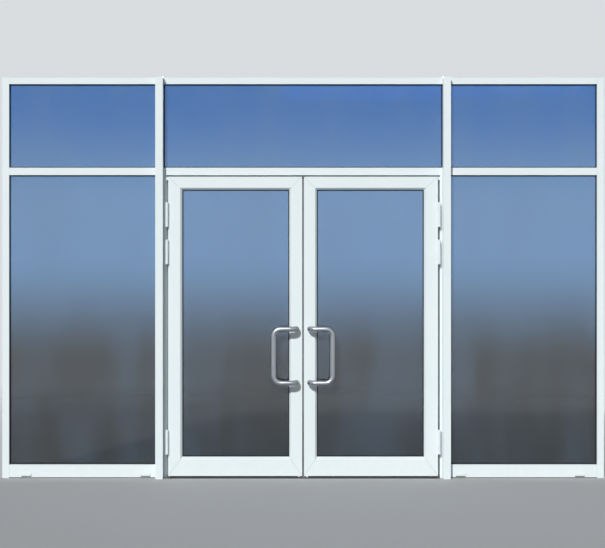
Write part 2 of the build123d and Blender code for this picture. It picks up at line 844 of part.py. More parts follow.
# Bolts through the stile, from handle to handle
with BuildPart() as handle_bolts:
    for z in foot_heights:
        draw_rod(
            (foot_x, leaf_front - handle_bolt_engagement, z),
            (0, 1, 0),
            handle_bolt_radius,
            leaf_depth + 2 * handle_bolt_engagement,
        )
write_leaf_pair(handle_bolts.part, "handle_bolts")

# Sliding bolts: a rod in the stile's rear chamber, and a thumb slide on the inner face
bolt_spans = {
    "bottom_bolt": (
        leaf_bottom + bolt_recess,
        bottom_slide_height + slide_neck_height / 2,
        bottom_slide_height,
    ),
    "top_bolt": (top_slide_height - slide_neck_height / 2, leaf_top - bolt_recess, top_slide_height),
}
pad_front = leaf_back + slide_pad_gap
for name, (low_z, high_z, slide_z) in bolt_spans.items():
    with BuildPart() as sliding_bolt:
        with BuildSketch(front_plane(pad_front + slide_pad_thickness)):
            with Locations((bolt_x, slide_z)):
                RectangleRounded(slide_pad_width, slide_pad_height, slide_pad_radius)
        extrude(amount=slide_pad_thickness)
        fillet(sliding_bolt.faces().sort_by(Axis.Y)[-1].edges(), radius=slide_pad_edge_radius)
        draw_rod((bolt_x, bolt_setback, low_z), (0, 0, 1), bolt_radius, high_z - low_z)
        draw_box(
            (bolt_x - slide_neck_width / 2, bolt_setback, slide_z - slide_neck_height / 2),
            (bolt_x + slide_neck_width / 2, pad_front, slide_z + slide_neck_height / 2),
        )
    write_leaf_pair(sliding_bolt.part, name)
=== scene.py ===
# %% [markdown]
# A glass entrance screen with a pair of doors
#
# The real object is a screen of white metal profiles: a pair of glass doors between two fixed side lights,
# and a row of fixed lights over them. Its solids are loaded as a frame that stays as it is: every profile,
# pane and hinge is in its place, in metres, with X along the screen, Y into the building and Z up. It
# could all be modelled again here, but then a door might miss its hinges. So this lesson only adds what
# the solids leave out: finishes, soft seals with their real sections, bent handles, brushes and screws.

import bpy
import numpy as np
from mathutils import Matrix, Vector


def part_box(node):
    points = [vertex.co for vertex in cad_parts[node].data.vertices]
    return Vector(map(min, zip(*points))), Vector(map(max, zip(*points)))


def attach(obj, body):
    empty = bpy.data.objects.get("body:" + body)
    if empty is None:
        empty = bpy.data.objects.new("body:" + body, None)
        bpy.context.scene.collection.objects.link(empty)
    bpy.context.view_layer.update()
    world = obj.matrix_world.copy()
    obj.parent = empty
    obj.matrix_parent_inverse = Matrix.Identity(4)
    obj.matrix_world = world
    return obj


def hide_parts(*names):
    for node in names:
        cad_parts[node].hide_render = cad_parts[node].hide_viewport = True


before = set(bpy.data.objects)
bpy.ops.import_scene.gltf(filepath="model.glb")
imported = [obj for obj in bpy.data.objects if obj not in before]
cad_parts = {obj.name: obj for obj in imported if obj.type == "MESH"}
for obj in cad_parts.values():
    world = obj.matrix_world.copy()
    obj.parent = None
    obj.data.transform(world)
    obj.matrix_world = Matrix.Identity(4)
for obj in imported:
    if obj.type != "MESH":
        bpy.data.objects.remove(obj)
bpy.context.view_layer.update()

# %% [markdown]
# Every finish below varies a little over its surface, and that takes sums of noise, height and distance.
# The Math nodes for them could be added one by one, but a sum of three terms would then fill ten lines. So
# a wire wraps one socket of a node tree, and each operator on it adds the Math node that does the same sum.
# Colours stay out of such sums, because a Math node turns a colour grey.

# %% Wires
class Wire:
    """A socket that carries a value: sums on it add Math nodes to its tree."""

    def __init__(self, nodes, socket):
        self.nodes = nodes
        self.socket = socket

    def math(self, operation, *values):
        """The result of one Math node, whose values are numbers or wires."""
        inputs = dict(enumerate(values))
        return self.nodes.node("ShaderNodeMath", {"operation": operation}, inputs)["Value"]

    def __add__(self, other):
        return self.math("ADD", self, other)

    def __radd__(self, other):
        return self.math("ADD", other, self)

    def __sub__(self, other):
        return self.math("SUBTRACT", self, other)

    def __rsub__(self, other):
        return self.math("SUBTRACT", other, self)

    def __mul__(self, other):
        return self.math("MULTIPLY", self, other)

    def __rmul__(self, other):
        return self.math("MULTIPLY", other, self)

    def __abs__(self):
        return self.math("ABSOLUTE", self)

    def root(self):
        """The square root of the value."""
        return self.math("SQRT", self)

    def wave(self):
        """The sine of the value."""
        return self.math("SINE", self)

    def below(self, limit):
        """1 where the value is under the limit, else 0."""
        return self.math("LESS_THAN", self, limit)

    def either(self, other):
        """1 where this wire or the other one is 1."""
        return self.math("MAXIMUM", self, other)

    def step(self, low, high, start=0.0, end=1.0):
        """Runs smoothly from start to end as the value goes from low to high."""
        smooth = {"interpolation_type": "SMOOTHSTEP"}
        inputs = {"Value": self, "From Min": low, "From Max": high, "To Min": start, "To Max": end}
        return self.nodes.node("ShaderNodeMapRange", smooth, inputs)["Result"]


print("Wire:", Wire.__doc__)

# %% [markdown]
# Noise, mixes, bumps and shaders are nodes too. Each kind could have a helper of its own, but one method
# serves them all: it takes the node's type, its settings and the values or wires of its sockets. The
# settings come first, because some of them change which sockets the node has.

# %% Node trees
class Outputs:
    """A node's outputs by name, each as a wire."""

    def __init__(self, nodes, made):
        self.nodes = nodes
        self.made = made

    def __getitem__(self, name):
        return Wire(self.nodes, self.made.outputs[name])


class NodeTree:
    """The nodes of a material or a world, and the one method that adds to them."""

    def __init__(self, owner):
        owner.use_nodes = True
        self.tree = owner.node_tree
        self.tree.nodes.clear()

    def node(self, kind, settings=None, inputs=None):
        """A new node of a kind, with its settings and the values or wires of its sockets."""
        made = self.tree.nodes.new(kind)
        for key, value in (settings or {}).items():
            setattr(made, key, value)
        for key, value in (inputs or {}).items():
            if isinstance(value, Wire):
                self.tree.links.new(value.socket, made.inputs[key])
            else:
                made.inputs[key].default_value = value
        return Outputs(self, made)


print("NodeTree:", NodeTree.__doc__)

# %% [markdown]
# A finish is what a maker would order: powder coating, rubber, brushed steel. Each is one material with one
# principled shader. What is the same all over goes straight onto the shader's own sockets, and only what
# varies is wired. The patterns read Object coordinates, in metres, so they keep their real size.

# %% Finishes
class Finish(NodeTree):
    """One material: a principled shader, and the patterns that feed it."""

    def __init__(self, name, **constants):
        self.material = bpy.data.materials.new(name)
        super().__init__(self.material)
        sockets = {key.replace("_", " "): value for key, value in constants.items()}
        self.shader = self.node("ShaderNodeBsdfPrincipled", inputs=sockets)
        self.node("ShaderNodeOutputMaterial", inputs={"Surface": self.shader["BSDF"]})
        self.place = self.node("ShaderNodeTexCoord")["Object"]

    def put(self, **wires):
        """Feeds wires into the shader's own sockets."""
        for key, wire in wires.items():
            self.tree.links.new(wire.socket, self.shader.made.inputs[key.replace("_", " ")])

    def axes(self):
        """X, Y and Z as three wires."""
        parts = self.node("ShaderNodeSeparateXYZ", inputs={"Vector": self.place})
        return parts["X"], parts["Y"], parts["Z"]

    def stretched(self, x, y, z, place=None):
        """A place, or else the Object coordinates, times a factor on each axis."""
        inputs = {0: place or self.place, 1: (x, y, z)}
        return self.node("ShaderNodeVectorMath", {"operation": "MULTIPLY"}, inputs)["Vector"]

    def noise(self, scale, detail=3.0, place=None):
        """Soft noise from 0 to 1, of so many lumps to a metre."""
        inputs = {"Vector": place or self.place, "Scale": scale, "Detail": detail}
        return self.node("ShaderNodeTexNoise", inputs=inputs)["Fac"]

    def blend(self, amount, first, second):
        """A colour between two others."""
        inputs = {"Factor": amount, 6: first, 7: second}
        return self.node("ShaderNodeMix", {"data_type": "RGBA"}, inputs)[2]

    def bump(self, height, distance):
        """Raises the surface by height times distance, in metres."""
        inputs = {"Height": height, "Distance": distance, "Strength": 1.0}
        self.put(Normal=self.node("ShaderNodeBump", inputs=inputs)["Normal"])


print("Finish:", Finish.__doc__)

# %% [markdown]
# The profiles are aluminium under a white powder coating. Powder melts into a skin that is nearly smooth
# but has a faint orange-peel ripple, and splash from the floor leaves a slight grey film low down. One
# plain white would do from afar, but it looks like plastic close up. So the white drifts a little, the
# film fades out with height, and the ripple is a fine noise of a few hundredths of a millimetre.

# %% White coating
splash_height = 0.34
ripple_depth = 0.0004


def hairline(distance, half_width):
    """1 on the line, falling to 0 at its edges."""
    return 1 - abs(distance).step(half_width * 0.5, half_width)


def white_coating(name, joints=None, joint_and_shadow_colour=(0.24, 0.27, 0.29, 1)):
    """The coating, with the joint hairlines, and on the sills the painted shadows under the drain caps,
    that a function of the finish draws.
    """
    finish = Finish(name, Coat_Weight=0.25, Coat_Roughness=0.12)
    height = finish.axes()[2]
    film = (1 - height.step(0.0, splash_height)) * finish.noise(26.0, 5.0).step(0.35, 0.75) * 0.1
    drift = finish.noise(2.2, 4.0).step(0.3, 0.7)
    clean = finish.blend(drift, (0.775, 0.86, 0.88, 1), (0.80, 0.875, 0.895, 1))
    colour = finish.blend(film, clean, (0.60, 0.625, 0.61, 1))
    ripple = finish.noise(520.0, 2.0) * 0.1
    if joints:
        lines = joints(finish)
        colour = finish.blend(lines * 0.66, colour, joint_and_shadow_colour)
        ripple = ripple - lines
    finish.put(Base_Color=colour, Roughness=0.27 + film * 0.5 + finish.noise(60.0) * 0.06)
    finish.bump(ripple, ripple_depth)
    return finish


coating = white_coating("white_coating")
print("coating nodes:", len(coating.tree.nodes))

# %% [markdown]
# The four profiles of a leaf are cut at an angle and pressed together over corner cleats. What shows is a
# shallow dark hairline from the leaf's corner to the corner of the glass. It could be cut into the mesh,
# but the loaded meshes stay as they are, so the finish draws it: the distance to each of the four lines
# is worked out from X and Z. X is taken without its sign, because the left leaf mirrors the right one.

# %% Mitre lines
mitre_half_width = 0.0011
leaf_low, leaf_high = (np.array(corner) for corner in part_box("right_leaf_hinge_stile"))
meeting_low, meeting_high = (np.array(corner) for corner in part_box("right_leaf_meeting_stile"))
bottom_low, bottom_high = (np.array(corner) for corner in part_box("right_leaf_bottom_rail"))
top_low, top_high = (np.array(corner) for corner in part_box("right_leaf_top_rail"))
outer_left, outer_right = meeting_low[0], leaf_high[0]
outer_bottom, outer_top = bottom_low[2], top_high[2]
glass_left, glass_right = meeting_high[0], leaf_low[0]
glass_bottom, glass_top = bottom_high[2], top_low[2]


def mitre_lines(finish):
    """The four joints of a leaf: each line stops at the corner of the glass.

    A point's distance to a line is its offset from the corner, times the line's normal.
    """
    x, y, z = finish.axes()
    x = abs(x)
    lines = []
    for corner_x, inner_x in ((outer_left, glass_left), (outer_right, glass_right)):
        for corner_z, inner_z in ((outer_bottom, glass_bottom), (outer_top, glass_top)):
            along = np.array((inner_x - corner_x, inner_z - corner_z))
            across_x, across_z = np.array((along[1], -along[0])) / np.linalg.norm(along)
            distance = (x - float(corner_x)) * float(across_x) + (z - float(corner_z)) * float(across_z)
            near = abs(x - float(corner_x)).below(float(abs(along[0])) + 0.0005)
            lines.append(hairline(distance, mitre_half_width) * near)
    return sum(lines)


leaf_coating = white_coating("leaf_coating", mitre_lines)
print("leaf opening:", glass_left, glass_right, glass_bottom, glass_top)

# %% [markdown]
# Where a rail of the frame meets an upright, the square end of its lip makes another hairline. It could be
# a gap between the solids, but the real joint is closed and only its edge shows. So the rails share one
# finish, with a fine line at each place along X where they end.

# %% Rail joints
joint_half_width = 0.0012
upright_faces = (
    float(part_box("mullion_right")[0][0]),
    float(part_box("mullion_right")[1][0]),
    float(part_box("jamb_right")[0][0]),
)


def rail_joints(finish):
    """A hairline at each place along X, on both sides of the centre, where a rail ends."""
    x = abs(finish.axes()[0])
    return sum(hairline(x - face, joint_half_width) for face in upright_faces)


rail_coating = white_coating("rail_coating", rail_joints)
print("rail joints at:", upright_faces)

# %% [markdown]
# Each drain cap stands out from its sill, and light from high on the left would cast a short shadow just
# below its mouth.
# A loose dark plate there would stand off the face, so that shadow is painted in the coating. The sills
# have a
# finish of their own for it: the rails' hairlines, and a short band of painted shadow as wide as each cap.

# %% Painted shadows under the drain caps
cap_low, cap_high = (np.array(corner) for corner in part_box("drain_caps"))
cap_half = 0.036
cap_inset = 0.075
cap_places = (upright_faces[1] + cap_inset, float(cap_high[0]) - cap_half)
mouth = float(cap_low[2])
cap_shadow_foot = mouth - 0.0105


def sill_joints_and_cap_shadows(finish):
    """The rail hairlines, and under each cap, on the outer face alone, a painted shadow 10 mm tall."""
    x, y, z = finish.axes()
    outside = y.below(float(cap_high[1]) + 0.001)
    # painted shadow: a dark band below each cap's mouth, on the outer face only
    band = z.step(cap_shadow_foot, cap_shadow_foot + 0.002) * (1 - z.step(mouth, mouth + 0.0004)) * outside
    widths = [1 - abs(abs(x) - place).step(cap_half - 0.003, cap_half) for place in cap_places]
    return rail_joints(finish) + sum(widths) * band * 1.3


# the sills' finish: rail hairlines, and a painted shadow under each drain cap
sill_coating_with_cap_shadows = white_coating("sill_coating_with_cap_shadows", sill_joints_and_cap_shadows, (0.09, 0.10, 0.10, 1))
print("drain caps at:", cap_places)

# %% [markdown]
# Each light is a double-glazed unit. The outer pane carries a sun-control coating: a film so thin that it
# is half mirror and half tinted. The inner pane is clear float glass, faintly green. A true mirror would
# show whatever room it stands in, and a plain studio has nothing to show, so the outer pane's colour
# carries a
# painted reflection: dark grey of the ground up to 0.8 m, blue of the sky from 1.6 m, and deeper blue
# from 1.9 to 2.7 m. One finish serves both panes: the depth Y tells them apart.

# %% Glass
ground_painted_reflection = (0.05, 0.06, 0.068, 1)
sky_painted_reflection = (0.20, 0.38, 0.65, 1)
high_sky_painted_reflection = (0.03, 0.195, 0.58, 1)
streak_tint = (0.17, 0.31, 0.50, 1)
clear_glass = (0.62, 0.72, 0.70, 1)
outer_mirror = 0.65
outer_cover, inner_cover = 0.69, 0.16


def glazing(name, unit):
    """The finish of both panes of a unit: half mirror with a painted reflection on the outer pane, clear on
    the inner one.

    The cover of a pane is how much it hides of what lies behind it.
    """
    low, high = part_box(unit)
    middle = float(low[1] + high[1]) / 2
    finish = Finish(name, IOR=1.5, Specular_IOR_Level=0.6, Coat_Weight=0.4, Coat_Roughness=0.02)
    depth, height = finish.axes()[1:]
    outer = depth.below(middle)
    # painted reflection: dark grey low down and blue higher up, by height alone
    painted_reflection_low = finish.blend(height.step(0.8, 1.62), ground_painted_reflection, sky_painted_reflection)
    painted_reflection = finish.blend(height.step(1.9, 2.7), painted_reflection_low, high_sky_painted_reflection)
    streaks = finish.noise(3.0, 2.0, finish.stretched(1.0, 1.0, 0.25))
    tint_and_painted_reflection = finish.blend(streaks.step(0.35, 0.7) * 0.2, painted_reflection, streak_tint)
    finish.put(
        Base_Color=finish.blend(outer, clear_glass, tint_and_painted_reflection),
        Metallic=outer * outer_mirror,
        Alpha=outer * (outer_cover - inner_cover) + inner_cover,
        Roughness=0.02 + finish.noise(9.0, 4.0).step(0.5, 0.85) * 0.03,
    )
    return finish


frame_glass = glazing("frame_glass", "sidelight_glass_right")
leaf_glass = glazing("leaf_glass", "right_leaf_glass")
print("glass nodes:", len(frame_glass.tree.nodes), len(leaf_glass.tree.nodes))

# %% [markdown]
# The small parts are rubber seals, plated steel screws, plain aluminium cleats, and moulded plastic caps,
# blocks and keeper. Each could have a recipe of its own, but they are variations on one idea: a base colour
# that drifts slowly, a roughness that varies faster, and a fine bump in the grain's direction.

# %% Rubber, metals and plastics
def grained(name, colours, grain, roughness, depth, **constants):
    """A finish whose grain is noise stretched by three factors, one to an axis."""
    finish = Finish(name, **constants)
    lines = finish.noise(1.0, 4.0, finish.stretched(*grain))
    drift = finish.noise(7.0)
    mixed = finish.blend(lines.step(0.25, 0.75) * 0.6 + drift * 0.4, colours[0], colours[1])
    finish.put(Base_Color=mixed, Roughness=roughness + lines * 0.14 + drift * 0.06)
    finish.bump(lines, depth)
    return finish


black_shades = (0.012, 0.013, 0.014, 1), (0.03, 0.031, 0.033, 1)
grey_shades = (0.05, 0.06, 0.065, 1), (0.09, 0.105, 0.11, 1)
plating_shades = (0.52, 0.53, 0.54, 1), (0.66, 0.67, 0.68, 1)
aluminium_shades = (0.60, 0.61, 0.62, 1), (0.74, 0.75, 0.76, 1)
moulding_shades = (0.40, 0.43, 0.45, 1), (0.48, 0.51, 0.53, 1)
block_shades = (0.03, 0.09, 0.24, 1), (0.05, 0.12, 0.30, 1)
white_shades = (0.76, 0.83, 0.84, 1), (0.81, 0.87, 0.88, 1)

rubber = grained("black_rubber", black_shades, (700, 700, 700), 0.5, 0.00003, Specular_IOR_Level=0.15)
grey_seal = grained("grey_seal", grey_shades, (600, 600, 90), 0.5, 0.00003, Specular_IOR_Level=0.2)
steel = grained("plated_steel", plating_shades, (900, 900, 160), 0.24, 0.00002, Metallic=1.0)
aluminium = grained("plain_aluminium", aluminium_shades, (60, 1500, 1500), 0.3, 0.00003, Metallic=1.0)
moulding = grained("grey_moulding", moulding_shades, (1100, 1100, 1100), 0.45, 0.00005)
block_plastic = grained("block_plastic", block_shades, (500, 500, 500), 0.4, 0.00003)
white_plastic = grained("white_plastic", white_shades, (800, 800, 800), 0.32, 0.00003)
print("nodes of a small finish:", len(rubber.tree.nodes))

# %% [markdown]
# The spacer between the panes is a thin aluminium box filled with drying beads. Its inner face has a row of
# tiny slits that let the beads dry the air. Cut as holes they would take thousands of faces, for something
# seen only through the glass. So two waves, one along X and one along Z, draw them 7 mm apart.

# %% Spacer bar
slit_rate = 900
spacer = Finish("spacer_bar", Metallic=0.9)
spacer_x, _, spacer_z = spacer.axes()
slits = ((spacer_x * slit_rate).wave() * (spacer_z * slit_rate).wave()).step(0.1, 0.7)
rolled = spacer.noise(1.0, 4.0, spacer.stretched(300, 300, 300))
spacer.put(
    Base_Color=spacer.blend(slits * 0.6, (0.5, 0.51, 0.52, 1), (0.12, 0.12, 0.13, 1)),
    Roughness=0.35 + rolled * 0.14 + spacer.noise(7.0) * 0.06,
)
spacer.bump(rolled, 0.00002)
print("slits lie apart by, in metres:", 2 * np.pi / slit_rate)

# %% [markdown]
# The sliding bolts are plated steel like the screws, but the thumb slide on the inner face has ribs for
# grip. The ribs could be cut into the solid, but the sliding fit is worked out with flat faces. So they are
# a bump: a wave along Z, 4 mm from crest to crest, kept to the pad by its depth Y. Their troughs are also
# painted darker: a painted shade.

# %% Bolt steel
rib_rate = 1570
bolt_steel = Finish("bolt_steel", Metallic=1.0)
bolt_y, bolt_z = bolt_steel.axes()[1:]
pad_face = float(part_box("right_leaf_top_bolt")[1][1])
ribs = (bolt_z * rib_rate).wave() * bolt_y.step(pad_face - 0.0015, pad_face - 0.0008)
turned = bolt_steel.noise(1.0, 4.0, bolt_steel.stretched(300, 300, 1400))
plated = bolt_steel.blend(turned.step(0.25, 0.75), *plating_shades)
# painted shade: the troughs of the ribs are darkened in the colour
bolt_steel.put(
    Base_Color=bolt_steel.blend(ribs.step(-0.9, -0.2, 0.45, 0.0), plated, (0.10, 0.10, 0.11, 1)),
    Roughness=0.26 + turned * 0.12,
)
bolt_steel.bump(ribs + turned * 0.02, 0.0004)
print("ribs lie apart by, in metres:", 2 * np.pi / rib_rate)

# %% [markdown]
# The threshold is a brushed metal strip that is trodden on, so its grain along X is crossed by short
# scratches, and dirt stays in its grooves and along its front edge, where no foot rubs it off. A painted
# picture of wear would have to be fitted to the strip. The grooves are real in the solid, so dirt is only
# a darker, duller colour below the top face and near the front. Made nearly black, that darkening is also
# painted shade: it stands for the shadow under the leaves.

# %% Threshold
threshold_low, threshold_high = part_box("threshold")
tread_top, tread_front = float(threshold_high[2]), float(threshold_low[1])
dark_depth, dark_width = 0.0009, 0.006
threshold = Finish("threshold_metal", Specular_IOR_Level=0.15)
tread_y, tread_z = threshold.axes()[1:]
on_top = tread_z.step(tread_top - dark_depth, tread_top - dark_depth / 3)
behind_edge = tread_y.step(tread_front + dark_width, tread_front + dark_width * 2)
# dirt and painted shade: below the top face and at the front edge, nearly black
dirt_and_painted_shade = (1 - on_top * behind_edge) * 0.95
brushed = threshold.noise(1.0, 5.0, threshold.stretched(35, 1300, 900))
scratches = threshold.noise(1.0, 2.0, threshold.stretched(900, 120, 1)).step(0.64, 0.72)
worn = threshold.blend(brushed.step(0.3, 0.7), (0.40, 0.41, 0.42, 1), (0.56, 0.57, 0.58, 1))
worn = threshold.blend(scratches * 0.35, worn, (0.75, 0.76, 0.77, 1))
threshold.put(
    Base_Color=threshold.blend(dirt_and_painted_shade, worn, (0.03, 0.029, 0.027, 1)),
    Roughness=0.34 + brushed * 0.15 + dirt_and_painted_shade * 0.3,
    Metallic=0.95 - dirt_and_painted_shade,
)
threshold.bump(brushed + scratches * 0.5, 0.00005)
print("threshold top and front edge:", tread_top, tread_front)

# %% [markdown]
# Every loaded node takes one of these finishes. They could be set one node at a time, but the names already
# say what each node is, so a rule on names is shorter and treats both leaves alike. The meshes themselves
# are never changed: only their material is.

# %% Finishes of the loaded nodes
def finish_of(node):
    """The finish that fits a node's name."""
    if "glass_spacer" in node:
        return spacer
    if node in ("right_leaf_glass", "left_leaf_glass"):
        return leaf_glass
    if "light_glass" in node:
        return frame_glass
    if "gaskets" in node or "brush" in node:
        return rubber
    if "cleats" in node:
        return aluminium
    if "setting_blocks" in node:
        return block_plastic
    if node.endswith("_bolt"):
        return bolt_steel
    if node.endswith(("_bolts", "_handle")):
        return steel
    if node.endswith(("_stile", "leaf_top_rail", "leaf_bottom_rail")):
        return leaf_coating
    if node.startswith("sill"):
        return sill_coating_with_cap_shadows
    if node.startswith(("head", "transom", "door_post")):
        return rail_coating
    single = {"threshold": threshold, "floor_keeper": moulding, "drain_caps": white_plastic}
    return single.get(node, coating)


for name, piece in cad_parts.items():
    piece.data.materials.clear()
    piece.data.materials.append(finish_of(name).material)
print("finished nodes:", len(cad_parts))

# %% [markdown]
# The new pieces are soft strips, tubes and domes. They could be drawn by hand, but a formula gives the same
# clean surface each time and fits itself to the frame. So each is worked out as a grid of points. Rows and
# columns become faces by joining each point to the next along both directions. A closed direction joins its
# last line to its first, and the open ends of a tube are closed by a flat cap.

# %% From grids to a mesh
sharp_from = np.radians(35)


def grid_faces(rows, columns, close_rows, close_columns):
    """Quads of a grid: point (i, j) joins (i, j + 1), (i + 1, j + 1) and (i + 1, j)."""
    i = np.arange(rows if close_rows else rows - 1)
    j = np.arange(columns if close_columns else columns - 1)
    i, j = np.meshgrid(i, j, indexing="ij")
    down, right = (i + 1) % rows, (j + 1) % columns
    corners = (i * columns + j, i * columns + right, down * columns + right, down * columns + j)
    return np.stack(corners, axis=-1).reshape(-1, 4)


def make_piece(name, grids, finish, body, replaced=()):
    """One object from (points, close_rows, close_columns, caps) grids, which rides on a body."""
    points, faces, start = [], [], 0
    for grid, close_rows, close_columns, caps in grids:
        rows, columns = grid.shape[:2]
        quads = grid_faces(rows, columns, close_rows, close_columns) + start
        faces += quads.tolist()
        if caps:
            first = start + np.arange(columns)
            last = start + (rows - 1) * columns + np.arange(columns)
            faces += [first[::-1].tolist(), last.tolist()]
        points.append(grid.reshape(-1, 3))
        start += rows * columns
    mesh = bpy.data.meshes.new(name)
    mesh.from_pydata(np.concatenate(points), [], faces)
    mesh.materials.append(finish.material)
    mesh.shade_smooth()
    mesh.set_sharp_from_angle(angle=sharp_from)
    piece = bpy.data.objects.new(name, mesh)
    bpy.context.collection.objects.link(piece)
    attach(piece, body)
    if replaced:
        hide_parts(*replaced)
    print(name, "faces:", len(faces))
    return piece


def mirrored(grid):
    """The grid with x turned to -x, and its rows in reverse so that it still faces out."""
    return (grid * (-1, 1, 1))[::-1]


print("faces of a closed ring with 4 corners and 10 points round:", len(grid_faces(4, 10, True, True)))

# %% [markdown]
# A glazing gasket is a rubber strip. A soft lip 7 mm wide bulges out over the glass, and the frame hides
# its ribbed foot. A bevelled box would lose both, so the real section is carried round each opening. A
# section point lies u outside the opening's edge and at depth v. The same point is used at all four
# corners, which makes the mitres by itself.

# %% Glazing gaskets
lip, bulge = 0.007, 0.0007
foot, rib = 0.006, 0.0005
edge_cover = 0.012
strip_depth = 0.003


def gasket_section(front, back, seen_at):
    """A lip of half-round outline on the glass side, and two grip ribs on each face of the foot.

    For t from -90 to 90, with half the depth h, the lip is u = -lip + h * (1 - cos t) and
    v = middle + h * sin t, pushed out by bulge * cos(t) ^ 2 on the side it is seen from.
    """
    middle, half = (front + back) / 2, (back - front) / 2
    t = np.radians(np.linspace(-90, 90, 13))
    pushed = bulge * np.cos(t) ** 2 * (1 if seen_at == "front" else -1)
    lip_u = -lip + half * (1 - np.cos(t))
    lip_v = middle + half * np.sin(t) - pushed
    rib_u = np.array((0.0012, 0.0018, 0.0024, 0.0042, 0.0048, 0.0054))
    rib_v = rib * np.array((0, 1, 0, 0, 1, 0))
    u = np.concatenate((lip_u, rib_u, (foot, foot), rib_u[::-1]))
    v = np.concatenate((lip_v, back - rib_v, (back, front), front + rib_v))
    return u, v


def ring_grid(opening, section):
    """Carries a section round a rectangle: each corner adds u on X and on Z, away from the middle."""
    (low_x, high_x, low_z, high_z), (u, v) = opening, section
    sides_x = np.array((-1, -1, 1, 1))[:, None]
    sides_z = np.array((-1, 1, 1, -1))[:, None]
    x = (low_x + high_x) / 2 + sides_x * ((high_x - low_x) / 2 + u[None, :])
    z = (low_z + high_z) / 2 + sides_z * ((high_z - low_z) / 2 + u[None, :])
    y = np.broadcast_to(v[None, :], x.shape)
    return np.stack((x, y, z), axis=-1)


def gasket_grids(node):
    """The outer and the inner gasket of a unit: its box, less the cover of its edges, is the opening."""
    low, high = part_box(node)
    opening = (low[0] + edge_cover, high[0] - edge_cover, low[2] + edge_cover, high[2] - edge_cover)
    front, back = low[1], high[1]
    outer = ring_grid(opening, gasket_section(front - strip_depth, front, "front"))
    inner = ring_grid(opening, gasket_section(back, back + strip_depth, "back"))
    return [(outer, True, True, False), (inner, True, True, False)]


print("points in a gasket's section:", len(gasket_section(0.0, strip_depth, "front")[0]))

# %% [markdown]
# The seal on the stops is a hollow rubber bulb on a flat foot, which the closing leaf squeezes. A plain
# round cord would be quicker, but it would roll off a flat stop. So the D-shaped section is carried up one
# post, along under the transom and down the other post, and joins the fixed lights' gaskets in one piece.

# %% Seals of the frame
stop_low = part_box("transom_centre")[0]
post_low, post_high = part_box("door_post_right")
bulb_inset = 0.006
bulb_width, bulb_depth = 0.0078, 0.0042
seal_x = float(post_low[0]) + bulb_inset
seal_z = float(stop_low[2]) + bulb_inset
stop_face = float(post_high[1]) - 0.0205


def bulb_section(width, depth):
    """A D-shaped bulb: u = width / 2 * cos t, v = depth * sin t raised to 0.6, over a flat foot."""
    t = np.linspace(0, np.pi, 17)
    return width / 2 * np.cos(t), depth * np.sin(t).clip(0) ** 0.6


def bulb_grid():
    """The bulb at the four turns of its path: up a post, along the transom and down the other post.

    A section point adds u to X and Z, away from the middle of the opening, and y = stop face - v.
    """
    u, v = bulb_section(bulb_width, bulb_depth)
    path_x = np.array((-seal_x, -seal_x, seal_x, seal_x))[:, None]
    path_z = np.array((tread_top, seal_z, seal_z, tread_top))[:, None]
    turn_x = np.array((-1, -1, 1, 1))[:, None]
    turn_z = np.array((0, 1, 1, 0))[:, None]
    y = np.broadcast_to(stop_face - v, (4, len(v)))
    return np.stack((path_x + turn_x * u, y, path_z + turn_z * u), axis=-1)


fixed_lights = [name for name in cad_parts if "light_glass" in name]
frame_grids = [grid for name in fixed_lights for grid in gasket_grids(name)]
frame_grids.append((bulb_grid(), False, True, True))
make_piece("frame_gasket_strips", frame_grids, rubber, "frame", ("frame_gaskets",))

# %% [markdown]
# Each leaf has the same gaskets, and a grey seal on its meeting stile: a slim rounded fin on a foot that
# sits in the stile's groove. A box would show a hard edge in the gap between the leaves, so the fin is half
# a flattened ellipse, carried up the stile. It is made for the right leaf and mirrored for the left one.

# %% Seals of the leaves
fin_edge = float(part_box("right_leaf_gaskets")[0][0])
fin_root = float(meeting_low[0])
fin_half = 0.005
groove_y = -0.0175


def fin_grid():
    """The fin's section at its foot and top, for t from 90 to -90.

    It is x = root - reach * cos(t) ^ 0.7 and y = groove + half its width * sin t.
    """
    t = np.radians(np.linspace(90, -90, 19))
    x = fin_root - (fin_root - fin_edge) * np.cos(t) ** 0.7
    y = groove_y + fin_half * np.sin(t)
    z = np.array((float(meeting_low[2]), float(meeting_high[2])))[:, None]
    return np.stack(np.broadcast_arrays(x, y, z), axis=-1)


for side in ("right", "left"):
    body = f"{side}_leaf"
    grids = gasket_grids(f"{side}_leaf_glass")
    fin = fin_grid() if side == "right" else mirrored(fin_grid())
    make_piece(f"{side}_gasket_strips", grids, rubber, body, (f"{side}_leaf_gaskets",))
    make_piece(f"{side}_meeting_seal", [(fin, False, True, True)], grey_seal, body)

# %% [markdown]
# The draught brush under each leaf is a strip of dense black bristles clamped in a narrow holder. Single
# hairs would be too many, so the bristles are pleated sheets: the depth of each point along the strip
# follows a fine wave, and the lower edge is uneven because hairs differ in length.

# %% Brushes
brush_low, brush_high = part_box("right_leaf_bottom_brush")
brush_ends = (float(brush_low[0]), float(brush_high[0]))
pleats = 320
pleat_depth = 0.00045
ragged_by = 0.0004
sheet_offsets = (-0.0026, -0.0009, 0.0009, 0.0026)
hair_foot, hair_top = float(brush_low[2]), float(bottom_low[2]) - 0.0028


